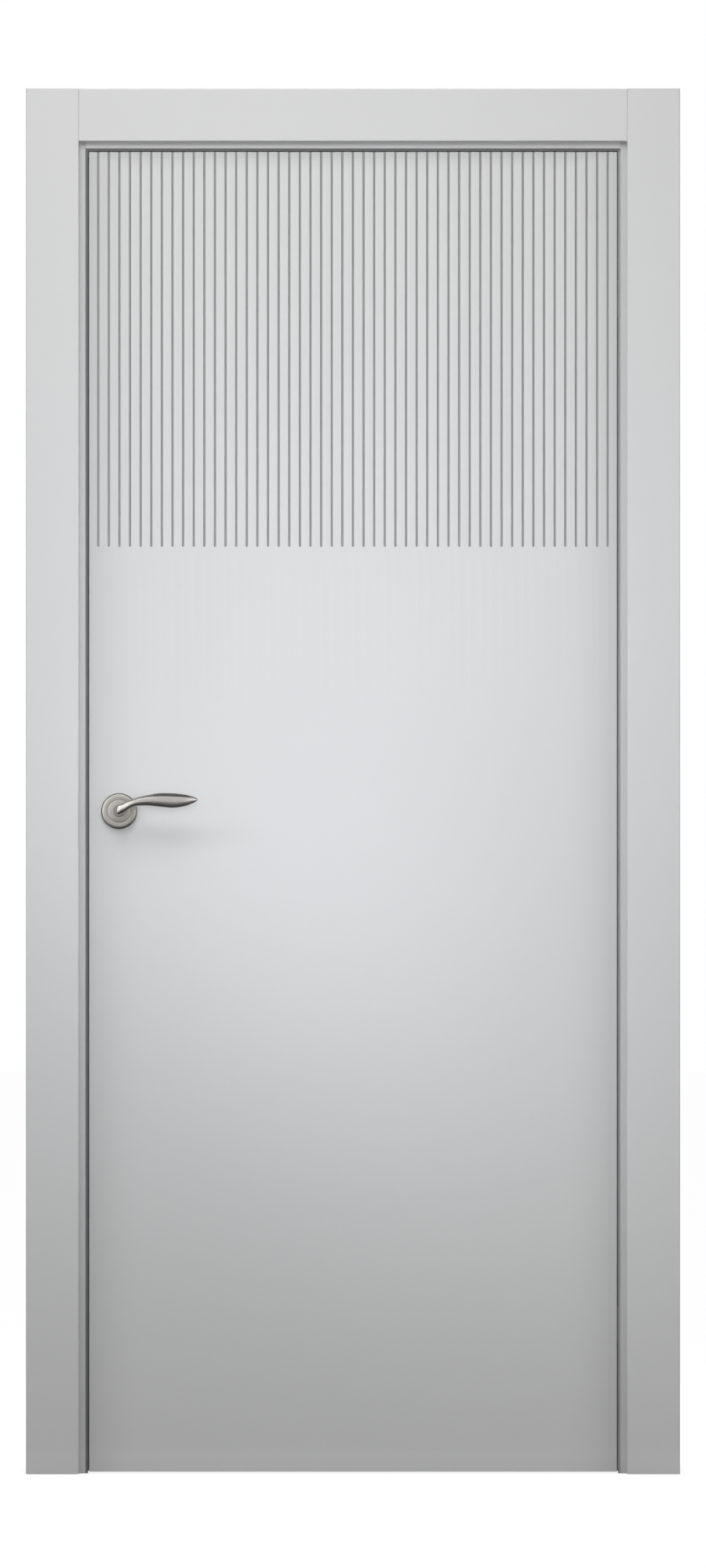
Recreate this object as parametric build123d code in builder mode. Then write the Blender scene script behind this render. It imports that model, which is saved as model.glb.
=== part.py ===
from build123d import *
import os
from math import cos, pi, radians, sin

# Interior door set in its frame: a flush leaf with a field of fine upright grooves,
# hung on two concealed hinges, with a lever handle on each side.
# +Z is up, +X is to the hinge side, and the viewer's side, where the leaf opens, is -Y.
# The origin is on the wall face of the hinge jamb, at the floor, in the plane of the
# closed leaf's front face. All sizes are in millimetres.

# Leaf and the gaps around it
LEAF_WIDTH = 800.0
LEAF_HEIGHT = 2000.0
LEAF_THICKNESS = 40.0
GAP = 5.0
FLOOR_GAP = 3.0
SKIN = 6.0
LEAF_EDGE_CHAMFER = 0.8
LATCH_EDGE_BEVEL = 1.4
STILE_WIDTH = 90.0
TOP_RAIL_HEIGHT = 90.0
BOTTOM_RAIL_HEIGHT = 120.0

# Upright grooves in the upper part of the leaf
GROOVE_COUNT = 49
GROOVE_MARGIN = 14.0
GROOVE_LENGTH = 597.0
GROOVE_WIDTH = 3.2
GROOVE_DEPTH = 3.0
GROOVE_END_SIDES = 8

# Frame in the wall
WALL_DEPTH = 100.0
JAMB_THICKNESS = 40.0
FIXING_Y = 70.0
FIXING_RADIUS = 3.0
FIXING_COUNT = 4
FIXING_END_DISTANCE = 184.0
JAMB_EDGE_RADIUS = 1.5
STOP_WIDTH = 10.0
SEAL_ROOM = 5.0
SEAL_STEM_WIDTH = 3.0
SEAL_STEM_DEPTH = 6.0
SEAL_LIP_WIDTH = 6.0
SEAL_SLACK = 0.4
GAP_SEAL_INSET = 2.5
GAP_SEAL_THICKNESS = 2.0
GAP_SEAL_STEM = 5.0
GAP_SEAL_ROOM = 1.6

# Casings, with a tongue that sits in a groove of the jamb
CASING_WIDTH = 80.0
CASING_THICKNESS = 12.0
CASING_RADIUS = 2.0
CASING_JOINT_CHAMFER = 0.5
REVEAL = 10.0
TONGUE_WIDTH = 4.0
TONGUE_LENGTH = 10.0
TONGUE_INSET = 22.0
TONGUE_SLACK = 0.2
TONGUE_END_ROOM = 2.0

# Concealed hinges: two cups and a curved arm that slides in both
HINGE_END_DISTANCE = 220.0
HINGE_PLATE_HEIGHT = 160.0
HINGE_PLATE_THICKNESS = 3.0
HINGE_CUP_HEIGHT = 100.0
HINGE_CUP_DEPTH = 28.0
HINGE_ARM_RADIUS = 29.0
HINGE_ARM_THICKNESS = 5.0
HINGE_ARM_HEIGHT = 56.0
HINGE_ARM_HALF_SPAN = 67.5
HINGE_SLOT_EXTRA_ANGLE = 0.8
HINGE_ARM_SLACK = 0.3
HINGE_PIN_RADIUS = 4.5
HINGE_FINGER_GAP = 2.0
HINGE_HUB_HALF_ANGLE = 12.0

# Lever handle and its rose
BACKSET = 46.0
HANDLE_ABOVE_LEAF_BOTTOM = 1001.0
ROSE_RADIUS = 27.0
ROSE_THICKNESS = 9.0
ROSE_BEVEL_WIDTH = 3.0
ROSE_BEVEL_DROP = 1.6
NECK_RADIUS = 8.3
NECK_STRAIGHT = 14.0
LEVER_SIDES = 16
NECK_SLACK = 0.08
NECK_INNER_END = 1.0
SPINDLE_SIZE = 8.0
SPINDLE_IN_LEVER = 24.0
SPINDLE_HOLE_RADIUS = 12.0

# Latch in the leaf's edge and its strike in the jamb
LATCH_PLATE_WIDTH = 18.0
LATCH_PLATE_HEIGHT = 196.0
LATCH_PLATE_THICKNESS = 3.0
LATCH_CASE_DEPTH = 70.0
LATCH_CASE_HEIGHT = 130.0
LATCH_CASE_THICKNESS = 15.0
LATCH_BOLT_RISE = 32.0
LATCH_BOLT_HEIGHT = 34.0
LATCH_BOLT_THICKNESS = 9.0
LATCH_BOLT_LENGTH = 20.0
LATCH_BOLT_SLACK = 0.3
STRIKE_WIDTH = 22.0
STRIKE_HEIGHT = 90.0
STRIKE_BOX_DEPTH = 14.0
STRIKE_BOX_WALL = 1.5
STRIKE_ROOM = 2.0

# Places worked out from the sizes above
HINGE_JAMB_FACE = -JAMB_THICKNESS
LEAF_HINGE_EDGE = HINGE_JAMB_FACE - GAP
LEAF_LATCH_EDGE = LEAF_HINGE_EDGE - LEAF_WIDTH
LATCH_JAMB_FACE = LEAF_LATCH_EDGE - GAP
LATCH_WALL_FACE = LATCH_JAMB_FACE - JAMB_THICKNESS
LEAF_BOTTOM = FLOOR_GAP
LEAF_TOP = LEAF_BOTTOM + LEAF_HEIGHT
HEAD_FACE = LEAF_TOP + GAP
HEAD_XS = (LATCH_JAMB_FACE, HINGE_JAMB_FACE)
FRAME_TOP = HEAD_FACE + JAMB_THICKNESS
REBATE_DEPTH = LEAF_THICKNESS + SEAL_ROOM
GAP_SEAL_YS = (GAP_SEAL_INSET, GAP_SEAL_INSET + GAP_SEAL_THICKNESS)
GAP_SEAL_REACH = GAP - GAP_SEAL_ROOM
REVEALS = {"front": REVEAL, "rear": 0}
CASING_GROOVE_DEPTH = TONGUE_LENGTH + TONGUE_END_ROOM
CASING_GROOVE_YS = {
    "front": (0, CASING_GROOVE_DEPTH),
    "rear": (WALL_DEPTH - CASING_GROOVE_DEPTH, WALL_DEPTH),
}
LEAF_MID_Y = LEAF_THICKNESS / 2
SWING_X = HINGE_JAMB_FACE - GAP / 2
SWING_Y = -GAP / 2
HINGE_HEIGHTS = {
    "upper": LEAF_TOP - HINGE_END_DISTANCE,
    "lower": LEAF_BOTTOM + HINGE_END_DISTANCE,
}
HANDLE_X = LEAF_LATCH_EDGE + BACKSET
HANDLE_HEIGHT = LEAF_BOTTOM + HANDLE_ABOVE_LEAF_BOTTOM
LATCH_BOLT_Z = HANDLE_HEIGHT + LATCH_BOLT_RISE
STRIKE_INNER_WIDTH = LATCH_BOLT_THICKNESS + 2 * STRIKE_ROOM
STRIKE_INNER_HEIGHT = LATCH_BOLT_HEIGHT + 2 * STRIKE_ROOM
STRIKE_OUTER_WIDTH = STRIKE_INNER_WIDTH + 2 * STRIKE_BOX_WALL
STRIKE_OUTER_HEIGHT = STRIKE_INNER_HEIGHT + 2 * STRIKE_BOX_WALL
STRIKE_BOX_END = LATCH_JAMB_FACE - STRIKE_BOX_DEPTH - STRIKE_BOX_WALL

os.makedirs("parts", exist_ok=True)


def save(piece, name):
    """Label a finished piece and write it under its node's name."""
    piece.part.label = name
    export_step(piece.part, f"parts/{name}.step")


def slab(xs, ys, zs, mode=Mode.ADD):
    """Box between two X values, two Y values and two Z values."""
    size = [abs(b - a) for a, b in (xs, ys, zs)]
    middle = Vector(*[(a + b) / 2 for a, b in (xs, ys, zs)])
    with Locations(middle):
        Box(*size, mode=mode)


def groove_centres():
    """X of each upright groove, spread evenly between the leaf's two margins."""
    span = LEAF_WIDTH - 2 * GROOVE_MARGIN
    pitch = span / (GROOVE_COUNT - 1)
    return [LEAF_LATCH_EDGE + GROOVE_MARGIN + i * pitch for i in range(GROOVE_COUNT)]


def around(middle, length):
    """Low and high value of a length centred on a middle value."""
    return middle - length / 2, middle + length / 2


def round_ended_plate(face, inward, thickness, width, height, middle, mode=Mode.ADD):
    """Upright plate with half-round ends, let into an edge face of the leaf or a jamb."""
    plane = Plane(origin=(face, LEAF_MID_Y, middle), x_dir=(0, 0, 1), z_dir=(inward, 0, 0))
    with BuildSketch(plane) as outline:
        SlotOverall(height, width)
    extrude(outline.sketch, amount=thickness, mode=mode)


def hinge_body(face, inward, height, mode=Mode.ADD):
    """Plate and cup of a hinge, or the mortise for them, inward from an edge face."""
    plate_width = LEAF_THICKNESS - 2 * SKIN
    round_ended_plate(
        face, inward, HINGE_PLATE_THICKNESS, plate_width, HINGE_PLATE_HEIGHT, height, mode
    )
    slab(
        (face, face + inward * HINGE_CUP_DEPTH),
        around(LEAF_MID_Y, plate_width),
        around(height, HINGE_CUP_HEIGHT),
        mode,
    )


def casing_groove_span(face, out, reveal):
    """Low and high value of a casing groove across a jamb, from the jamb's inner face."""
    start = face + out * (reveal + TONGUE_INSET)
    return start - out * TONGUE_SLACK, start + out * (TONGUE_WIDTH + TONGUE_SLACK)


def jamb_grooves(face, wall):
    """Casing grooves of a side jamb, front and rear, from its two faces' X values."""
    out = 1 if wall > face else -1
    for side, reveal in REVEALS.items():
        xs = casing_groove_span(face, out, reveal)
        slab(xs, CASING_GROOVE_YS[side], (0, FRAME_TOP), Mode.SUBTRACT)


def round_front_edge(piece, along, face_value, across):
    """Round the edge between a jamb's front face and its edge face."""
    front = piece.edges().filter_by(along).group_by(Axis.Y)[0]
    fillet([e for e in front if abs(across(e.center()) - face_value) < 0.1], JAMB_EDGE_RADIUS)


def jamb_fixings(face, wall):
    """Screw holes through a side jamb into the wall, hidden by the stop."""
    spacing = (FRAME_TOP - 2 * FIXING_END_DISTANCE) / (FIXING_COUNT - 1)
    for i in range(FIXING_COUNT):
        height = FIXING_END_DISTANCE + i * spacing
        with Locations(Location(((face + wall) / 2, FIXING_Y, height), (0, 90, 0))):
            Cylinder(FIXING_RADIUS, JAMB_THICKNESS, mode=Mode.SUBTRACT)


# Jambs: boards across the wall's depth, with a groove front and back for the casings
with BuildPart() as jamb_hinge_side:
    slab((HINGE_JAMB_FACE, 0), (0, WALL_DEPTH), (0, FRAME_TOP))
    round_front_edge(jamb_hinge_side, Axis.Z, HINGE_JAMB_FACE, lambda p: p.X)
    jamb_grooves(HINGE_JAMB_FACE, 0)
    slab((HINGE_JAMB_FACE, HINGE_JAMB_FACE + GAP_SEAL_STEM), GAP_SEAL_YS, (0, HEAD_FACE), Mode.SUBTRACT)
    jamb_fixings(HINGE_JAMB_FACE, 0)
    for hinge_z in HINGE_HEIGHTS.values():
        hinge_body(HINGE_JAMB_FACE, 1, hinge_z, Mode.SUBTRACT)
save(jamb_hinge_side, "jamb_hinge_side")


def strike_body(mode=Mode.ADD):
    """Strike plate and its box, or the mortise for them."""
    round_ended_plate(
        LATCH_JAMB_FACE, -1, LATCH_PLATE_THICKNESS, STRIKE_WIDTH, STRIKE_HEIGHT, LATCH_BOLT_Z, mode
    )
    slab(
        (LATCH_JAMB_FACE, STRIKE_BOX_END),
        around(LEAF_MID_Y, STRIKE_OUTER_WIDTH),
        around(LATCH_BOLT_Z, STRIKE_OUTER_HEIGHT),
        mode,
    )


with BuildPart() as jamb_latch_side:
    slab((LATCH_WALL_FACE, LATCH_JAMB_FACE), (0, WALL_DEPTH), (0, FRAME_TOP))
    round_front_edge(jamb_latch_side, Axis.Z, LATCH_JAMB_FACE, lambda p: p.X)
    jamb_grooves(LATCH_JAMB_FACE, LATCH_WALL_FACE)
    slab((LATCH_JAMB_FACE - GAP_SEAL_STEM, LATCH_JAMB_FACE), GAP_SEAL_YS, (0, HEAD_FACE), Mode.SUBTRACT)
    jamb_fixings(LATCH_JAMB_FACE, LATCH_WALL_FACE)
    strike_body(Mode.SUBTRACT)
save(jamb_latch_side, "jamb_latch_side")

with BuildPart() as head_jamb:
    slab(HEAD_XS, (0, WALL_DEPTH), (HEAD_FACE, FRAME_TOP))
    round_front_edge(head_jamb, Axis.X, HEAD_FACE, lambda p: p.Z)
    for groove_side, groove_reveal in REVEALS.items():
        groove_zs = casing_groove_span(HEAD_FACE, 1, groove_reveal)
        groove_ys = CASING_GROOVE_YS[groove_side]
        slab(HEAD_XS, groove_ys, groove_zs, Mode.SUBTRACT)
    slab(HEAD_XS, GAP_SEAL_YS, (HEAD_FACE, HEAD_FACE + GAP_SEAL_STEM), Mode.SUBTRACT)
save(head_jamb, "head_jamb")

# Stops: strips behind the leaf, each with a seal in a groove of its front face
STOP_YS = (REBATE_DEPTH, WALL_DEPTH)
STEM_YS = (REBATE_DEPTH, REBATE_DEPTH + SEAL_STEM_DEPTH)
LIP_YS = (LEAF_THICKNESS + SEAL_SLACK, REBATE_DEPTH)
STOP_BOTTOM = HEAD_FACE - STOP_WIDTH

for stop_name, stop_face, stop_side in (
    ("hinge_side", HINGE_JAMB_FACE, -1),
    ("latch_side", LATCH_JAMB_FACE, 1),
):
    stop_edge = stop_face + stop_side * STOP_WIDTH
    seal_x = stop_face + stop_side * STOP_WIDTH / 2
    with BuildPart() as stop:
        slab((stop_face, stop_edge), STOP_YS, (0, HEAD_FACE))
        slab(around(seal_x, SEAL_STEM_WIDTH), STEM_YS, (0, HEAD_FACE), Mode.SUBTRACT)
    save(stop, f"stop_{stop_name}")
    with BuildPart() as seal:
        slab(around(seal_x, SEAL_STEM_WIDTH), STEM_YS, (0, STOP_BOTTOM))
        slab(around(seal_x, SEAL_LIP_WIDTH), LIP_YS, (0, STOP_BOTTOM))
    save(seal, f"seal_{stop_name}")

head_seal_z = HEAD_FACE - STOP_WIDTH / 2
HEAD_STOP_XS = (LATCH_JAMB_FACE + STOP_WIDTH, HINGE_JAMB_FACE - STOP_WIDTH)
with BuildPart() as stop_head:
    slab(HEAD_STOP_XS, STOP_YS, (STOP_BOTTOM, HEAD_FACE))
    slab(HEAD_STOP_XS, STEM_YS, around(head_seal_z, SEAL_STEM_WIDTH), Mode.SUBTRACT)
save(stop_head, "stop_head")
with BuildPart() as seal_head:
    slab(HEAD_STOP_XS, STEM_YS, around(head_seal_z, SEAL_STEM_WIDTH))
    slab(HEAD_STOP_XS, LIP_YS, around(head_seal_z, SEAL_LIP_WIDTH))
save(seal_head, "seal_head")

# Gap seals: soft fins just behind the frame's face, which close most of the gap
for gap_name, gap_face, gap_side in (
    ("hinge_side", HINGE_JAMB_FACE, -1),
    ("latch_side", LATCH_JAMB_FACE, 1),
):
    gap_xs = (gap_face - gap_side * GAP_SEAL_STEM, gap_face + gap_side * GAP_SEAL_REACH)
    with BuildPart() as gap_seal:
        slab(gap_xs, GAP_SEAL_YS, (0, HEAD_FACE - GAP_SEAL_REACH))
    save(gap_seal, f"gap_seal_{gap_name}")

with BuildPart() as gap_seal_head:
    slab(HEAD_XS, GAP_SEAL_YS, (HEAD_FACE - GAP_SEAL_REACH, HEAD_FACE + GAP_SEAL_STEM))
save(gap_seal_head, "gap_seal_head")

# Casings: side casings run full height, the head casing sits between them
for face_name, back, out in (("front", 0, -1), ("rear", WALL_DEPTH, 1)):
    reveal = REVEALS[face_name]
    outer = back + out * CASING_THICKNESS
    tongue_end = back - out * TONGUE_LENGTH
    casing_bottom = HEAD_FACE + reveal
    casing_top = casing_bottom + CASING_WIDTH
    for side_name, jamb_face, away in (
        ("hinge_side", HINGE_JAMB_FACE, 1),
        ("latch_side", LATCH_JAMB_FACE, -1),
    ):
        inner_edge = jamb_face + away * reveal
        tongue_start = inner_edge + away * TONGUE_INSET
        with BuildPart() as casing:
            slab((inner_edge, inner_edge + away * CASING_WIDTH), (back, outer), (0, casing_top))
            long_edges = casing.edges().filter_by(Axis.Z).group_by(Axis.Y)[0 if out < 0 else -1]
            fillet(long_edges, CASING_RADIUS)
            slab(
                (tongue_start, tongue_start + away * TONGUE_WIDTH),
                (back, tongue_end),
                (0, FRAME_TOP),
            )
        save(casing, f"casing_{face_name}_{side_name}")
    with BuildPart() as casing:
        head_xs = (LATCH_JAMB_FACE - reveal, HINGE_JAMB_FACE + reveal)
        slab(head_xs, (back, outer), (casing_bottom, casing_top))
        long_edges = casing.edges().filter_by(Axis.X).group_by(Axis.Y)[0 if out < 0 else -1]
        fillet(long_edges, CASING_RADIUS)
        outer_face = casing.faces().sort_by(Axis.Y)[0 if out < 0 else -1]
        chamfer(outer_face.edges().filter_by(Axis.Z), CASING_JOINT_CHAMFER)
        tongue_z = casing_bottom + TONGUE_INSET
        slab(HEAD_XS, (back, tongue_end), (tongue_z, tongue_z + TONGUE_WIDTH))
    save(casing, f"casing_{face_name}_head")

# Leaf: two skins on a frame of stiles and rails around a core
CORE_YS = (SKIN, LEAF_THICKNESS - SKIN)
INNER_XS = (LEAF_LATCH_EDGE + STILE_WIDTH, LEAF_HINGE_EDGE - STILE_WIDTH)
LEAF_ZS = (LEAF_BOTTOM, LEAF_TOP)
GROOVE_END = LEAF_TOP - GROOVE_LENGTH


def bevel_latch_edge():
    """Lean the leaf's latch edge back, so that its rear corner clears the jamb."""
    with BuildSketch(Plane.XY.offset(LEAF_BOTTOM)) as wedge:
        with BuildLine():
            Polyline(
                (LEAF_LATCH_EDGE, 0),
                (LEAF_LATCH_EDGE + LATCH_EDGE_BEVEL, LEAF_THICKNESS),
                (LEAF_LATCH_EDGE, LEAF_THICKNESS),
                close=True,
            )
        make_face()
    extrude(wedge.sketch, amount=LEAF_HEIGHT, mode=Mode.SUBTRACT)


for skin_name, face_y, inner_y in (
    ("front", 0, SKIN),
    ("back", LEAF_THICKNESS, LEAF_THICKNESS - SKIN),
):
    inward = 1 if inner_y > face_y else -1
    with BuildPart() as skin:
        slab((LEAF_LATCH_EDGE, LEAF_HINGE_EDGE), (face_y, inner_y), LEAF_ZS)
        bevel_latch_edge()
        face_edges = skin.faces().sort_by(Axis.Y)[0 if inward > 0 else -1].edges()
        chamfer(face_edges, LEAF_EDGE_CHAMFER)
        with BuildSketch(Plane.XZ.offset(-face_y)):
            for groove_x in groove_centres():
                with Locations((groove_x, (GROOVE_END + LEAF_TOP) / 2)):
                    Rectangle(GROOVE_WIDTH, GROOVE_LENGTH)
                with Locations((groove_x, GROOVE_END)):
                    RegularPolygon(GROOVE_WIDTH / 2, GROOVE_END_SIDES, major_radius=False)
        extrude(amount=-inward * GROOVE_DEPTH, mode=Mode.SUBTRACT)
        with Locations(Location((HANDLE_X, LEAF_MID_Y, HANDLE_HEIGHT), (90, 0, 0))):
            Cylinder(SPINDLE_HOLE_RADIUS, LEAF_THICKNESS, mode=Mode.SUBTRACT)
    save(skin, f"leaf_{skin_name}_skin")

with BuildPart() as leaf_stile_hinge_side:
    slab((LEAF_HINGE_EDGE - STILE_WIDTH, LEAF_HINGE_EDGE), CORE_YS, LEAF_ZS)
    for hinge_z in HINGE_HEIGHTS.values():
        hinge_body(LEAF_HINGE_EDGE, -1, hinge_z, Mode.SUBTRACT)
save(leaf_stile_hinge_side, "leaf_stile_hinge_side")

LATCH_CASE_START = LEAF_LATCH_EDGE + LATCH_PLATE_THICKNESS
LATCH_CASE_XS = (LATCH_CASE_START, LATCH_CASE_START + LATCH_CASE_DEPTH)
LATCH_CASE_YS = around(LEAF_MID_Y, LATCH_CASE_THICKNESS)
LATCH_CASE_ZS = around(HANDLE_HEIGHT, LATCH_CASE_HEIGHT)


def latch_body(mode=Mode.ADD):
    """Latch case and its face plate, or the mortise for them."""
    round_ended_plate(
        LEAF_LATCH_EDGE,
        1,
        LATCH_PLATE_THICKNESS,
        LATCH_PLATE_WIDTH,
        LATCH_PLATE_HEIGHT,
        HANDLE_HEIGHT,
        mode,
    )
    slab(LATCH_CASE_XS, LATCH_CASE_YS, LATCH_CASE_ZS, mode)


with BuildPart() as leaf_stile_latch_side:
    slab((LEAF_LATCH_EDGE, LEAF_LATCH_EDGE + STILE_WIDTH), CORE_YS, LEAF_ZS)
    bevel_latch_edge()
    latch_body(Mode.SUBTRACT)
    with Locations(Location((HANDLE_X, LEAF_MID_Y, HANDLE_HEIGHT), (90, 0, 0))):
        Cylinder(SPINDLE_HOLE_RADIUS, LEAF_THICKNESS, mode=Mode.SUBTRACT)
save(leaf_stile_latch_side, "leaf_stile_latch_side")

with BuildPart() as leaf_top_rail:
    slab(INNER_XS, CORE_YS, (LEAF_TOP - TOP_RAIL_HEIGHT, LEAF_TOP))
save(leaf_top_rail, "leaf_top_rail")

with BuildPart() as leaf_bottom_rail:
    slab(INNER_XS, CORE_YS, (LEAF_BOTTOM, LEAF_BOTTOM + BOTTOM_RAIL_HEIGHT))
save(leaf_bottom_rail, "leaf_bottom_rail")

with BuildPart() as leaf_core:
    core_zs = (LEAF_BOTTOM + BOTTOM_RAIL_HEIGHT, LEAF_TOP - TOP_RAIL_HEIGHT)
    slab(INNER_XS, CORE_YS, core_zs)
save(leaf_core, "leaf_core")

# Concealed hinges: the arm is a piece of a ring about the swing axis


def ring_sector(inner, outer, start, end, zs, mode=Mode.ADD):
    """Upright piece of a ring about the swing axis, between two angles in degrees."""
    low, high = zs
    with BuildSketch(Plane.XY.offset(low)) as sector:
        with BuildLine():
            centre = (SWING_X, SWING_Y)
            outer_arc = CenterArc(centre, outer, start, end - start)
            inner_arc = CenterArc(centre, inner, start, end - start)
            Line(outer_arc @ 0, inner_arc @ 0)
            Line(outer_arc @ 1, inner_arc @ 1)
        make_face()
    extrude(sector.sketch, amount=high - low, mode=mode)


ARM_RADII = (
    HINGE_ARM_RADIUS - HINGE_ARM_THICKNESS / 2,
    HINGE_ARM_RADIUS + HINGE_ARM_THICKNESS / 2,
)
ARM_ANGLES = (90 - HINGE_ARM_HALF_SPAN, 90 + HINGE_ARM_HALF_SPAN)
SLOT_RADII = (ARM_RADII[0] - HINGE_ARM_SLACK, ARM_RADII[1] + HINGE_ARM_SLACK)
SLOT_ANGLES = (ARM_ANGLES[0] - HINGE_SLOT_EXTRA_ANGLE, ARM_ANGLES[1] + HINGE_SLOT_EXTRA_ANGLE)

HUB_ANGLES = (90 - HINGE_HUB_HALF_ANGLE, 90 + HINGE_HUB_HALF_ANGLE)


def hinge_pin(radius, zs, mode=Mode.ADD):
    """Upright round in the middle of the gap, where the arm's fingers meet."""
    low, high = zs
    with Locations((SWING_X, SWING_Y + HINGE_ARM_RADIUS, (low + high) / 2)):
        Cylinder(radius, high - low, mode=mode)


for hinge_name, hinge_z in HINGE_HEIGHTS.items():
    slot_zs = around(hinge_z, HINGE_ARM_HEIGHT + 2 * HINGE_ARM_SLACK)
    for cup_name, edge_face, inward in (
        ("frame", HINGE_JAMB_FACE, 1),
        ("leaf", LEAF_HINGE_EDGE, -1),
    ):
        with BuildPart() as cup:
            hinge_body(edge_face, inward, hinge_z)
            ring_sector(*SLOT_RADII, *SLOT_ANGLES, slot_zs, Mode.SUBTRACT)
            hinge_pin(HINGE_PIN_RADIUS + HINGE_ARM_SLACK, slot_zs, Mode.SUBTRACT)
        save(cup, f"hinge_{hinge_name}_{cup_name}_cup")
    arm_zs = around(hinge_z, HINGE_ARM_HEIGHT)
    finger_pitch = (HINGE_ARM_HEIGHT + HINGE_FINGER_GAP) / 3
    with BuildPart() as arm:
        ring_sector(*ARM_RADII, *ARM_ANGLES, arm_zs)
        for finger_gap_z in (hinge_z - finger_pitch / 2, hinge_z + finger_pitch / 2):
            gap_zs = around(finger_gap_z, HINGE_FINGER_GAP)
            ring_sector(*SLOT_RADII, ARM_ANGLES[0], HUB_ANGLES[0], gap_zs, Mode.SUBTRACT)
            ring_sector(*SLOT_RADII, HUB_ANGLES[1], ARM_ANGLES[1], gap_zs, Mode.SUBTRACT)
        hinge_pin(HINGE_PIN_RADIUS, arm_zs)
    save(arm, f"hinge_{hinge_name}_arm")

# Latch and strike
BOLT_XS = (LEAF_LATCH_EDGE, LEAF_LATCH_EDGE + LATCH_BOLT_LENGTH)
BOLT_YS = around(LEAF_MID_Y, LATCH_BOLT_THICKNESS)
BOLT_ZS = around(LATCH_BOLT_Z, LATCH_BOLT_HEIGHT)

with BuildPart() as latch_case:
    latch_body()
    bevel_latch_edge()
    slab(
        BOLT_XS,
        around(LEAF_MID_Y, LATCH_BOLT_THICKNESS + 2 * LATCH_BOLT_SLACK),
        around(LATCH_BOLT_Z, LATCH_BOLT_HEIGHT + 2 * LATCH_BOLT_SLACK),
        Mode.SUBTRACT,
    )
    with Locations(Location((HANDLE_X, LEAF_MID_Y, HANDLE_HEIGHT), (90, 0, 0))):
        Cylinder(SPINDLE_HOLE_RADIUS, LEAF_THICKNESS, mode=Mode.SUBTRACT)
save(latch_case, "latch_case")

with BuildPart() as latch_bolt:
    slab(BOLT_XS, BOLT_YS, BOLT_ZS)
    bevel_latch_edge()
save(latch_bolt, "latch_bolt")

with BuildPart() as strike_plate:
    strike_body()
    slab(
        (LATCH_JAMB_FACE, LATCH_JAMB_FACE - STRIKE_BOX_DEPTH),
        around(LEAF_MID_Y, STRIKE_INNER_WIDTH),
        around(LATCH_BOLT_Z, STRIKE_INNER_HEIGHT),
        Mode.SUBTRACT,
    )
save(strike_plate, "strike_plate")

# Lever handle: a round neck that bends into a leaf-shaped grip
# Each station: X along the door, height above the spindle, distance from the leaf's face,
# half height and half depth of the grip there, and the turn of the path towards +X
LEVER_STATIONS = (
    (0.0, 0.0, NECK_STRAIGHT, NECK_RADIUS, NECK_RADIUS, 0),
    (0.3, 0.1, 24.0, 8.3, 8.2, 6),
    (1.2, 0.5, 30.5, 8.3, 8.1, 17),
    (3.5, 1.4, 36.0, 8.2, 7.8, 32),
    (6.8, 3.2, 40.8, 7.9, 7.4, 48),
    (11.0, 5.5, 44.5, 7.4, 6.8, 62),
    (17.0, 9.2, 47.6, 6.5, 6.3, 74),
    (24.0, 12.8, 49.5, 5.8, 6.0, 82),
    (42.0, 16.0, 51.0, 7.8, 5.4, 90),
    (62.0, 16.7, 51.5, 10.1, 4.8, 90),
    (82.0, 15.9, 51.0, 10.9, 4.5, 92),
    (99.0, 16.1, 50.0, 9.0, 4.0, 94),
    (112.0, 17.0, 48.8, 5.4, 3.0, 96),
    (120.0, 17.7, 48.0, 1.2, 1.0, 96),
)


def grip_section(half_height, half_depth):
    """Points of an oval section, evenly spaced in angle."""
    turns = [2 * pi * (i + 0.5) / LEVER_SIDES for i in range(LEVER_SIDES)]
    return [(half_height * cos(t), half_depth * sin(t)) for t in turns]


def lever(front):
    """Lever on one side of the leaf: on the front it stands out to -Y."""
    out = -1 if front else 1
    face = 0 if front else LEAF_THICKNESS
    with BuildPart() as piece:
        for along, up, away, half_height, half_depth, turn in LEVER_STATIONS:
            centre = (HANDLE_X + along, face + out * away, HANDLE_HEIGHT + up)
            path = (sin(radians(turn)), out * cos(radians(turn)), 0)
            with BuildSketch(Plane(origin=centre, x_dir=(0, 0, 1), z_dir=path)):
                with BuildLine():
                    Polyline(*grip_section(half_height, half_depth), close=True)
                make_face()
        loft(ruled=True)
        neck_length = NECK_STRAIGHT - NECK_INNER_END
        neck_y = face + out * (NECK_INNER_END + neck_length / 2)
        with Locations(Location((HANDLE_X, neck_y, HANDLE_HEIGHT), (90, 0, 0))):
            Cylinder(NECK_RADIUS, neck_length)
        slab(
            around(HANDLE_X, SPINDLE_SIZE),
            (face, face + out * SPINDLE_IN_LEVER),
            around(HANDLE_HEIGHT, SPINDLE_SIZE),
            Mode.SUBTRACT,
        )
    return piece


save(lever(front=True), "lever_front")
save(lever(front=False), "lever_back")

with BuildPart() as spindle:
    slab(
        around(HANDLE_X, SPINDLE_SIZE),
        (-SPINDLE_IN_LEVER, LEAF_THICKNESS + SPINDLE_IN_LEVER),
        around(HANDLE_HEIGHT, SPINDLE_SIZE),
    )
save(spindle, "spindle")


def rose(front):
    """Round rose about the lever's neck, with a bevelled rim."""
    face = 0 if front else LEAF_THICKNESS
    out = -1 if front else 1
    hole = NECK_RADIUS + NECK_SLACK
    profile = (
        (hole, 0),
        (ROSE_RADIUS, 0),
        (ROSE_RADIUS, ROSE_THICKNESS - ROSE_BEVEL_DROP),
        (ROSE_RADIUS - ROSE_BEVEL_WIDTH, ROSE_THICKNESS),
        (hole, ROSE_THICKNESS),
    )
    with BuildPart() as piece:
        with BuildSketch(Plane.XY.offset(HANDLE_HEIGHT)):
            with BuildLine():
                Polyline(*[(HANDLE_X + r, face + out * rise) for r, rise in profile], close=True)
            make_face()
        revolve(axis=Axis((HANDLE_X, face, HANDLE_HEIGHT), (0, 1, 0)))
    return piece


save(rose(front=True), "rosette_front")
save(rose(front=False), "rosette_back")
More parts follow.
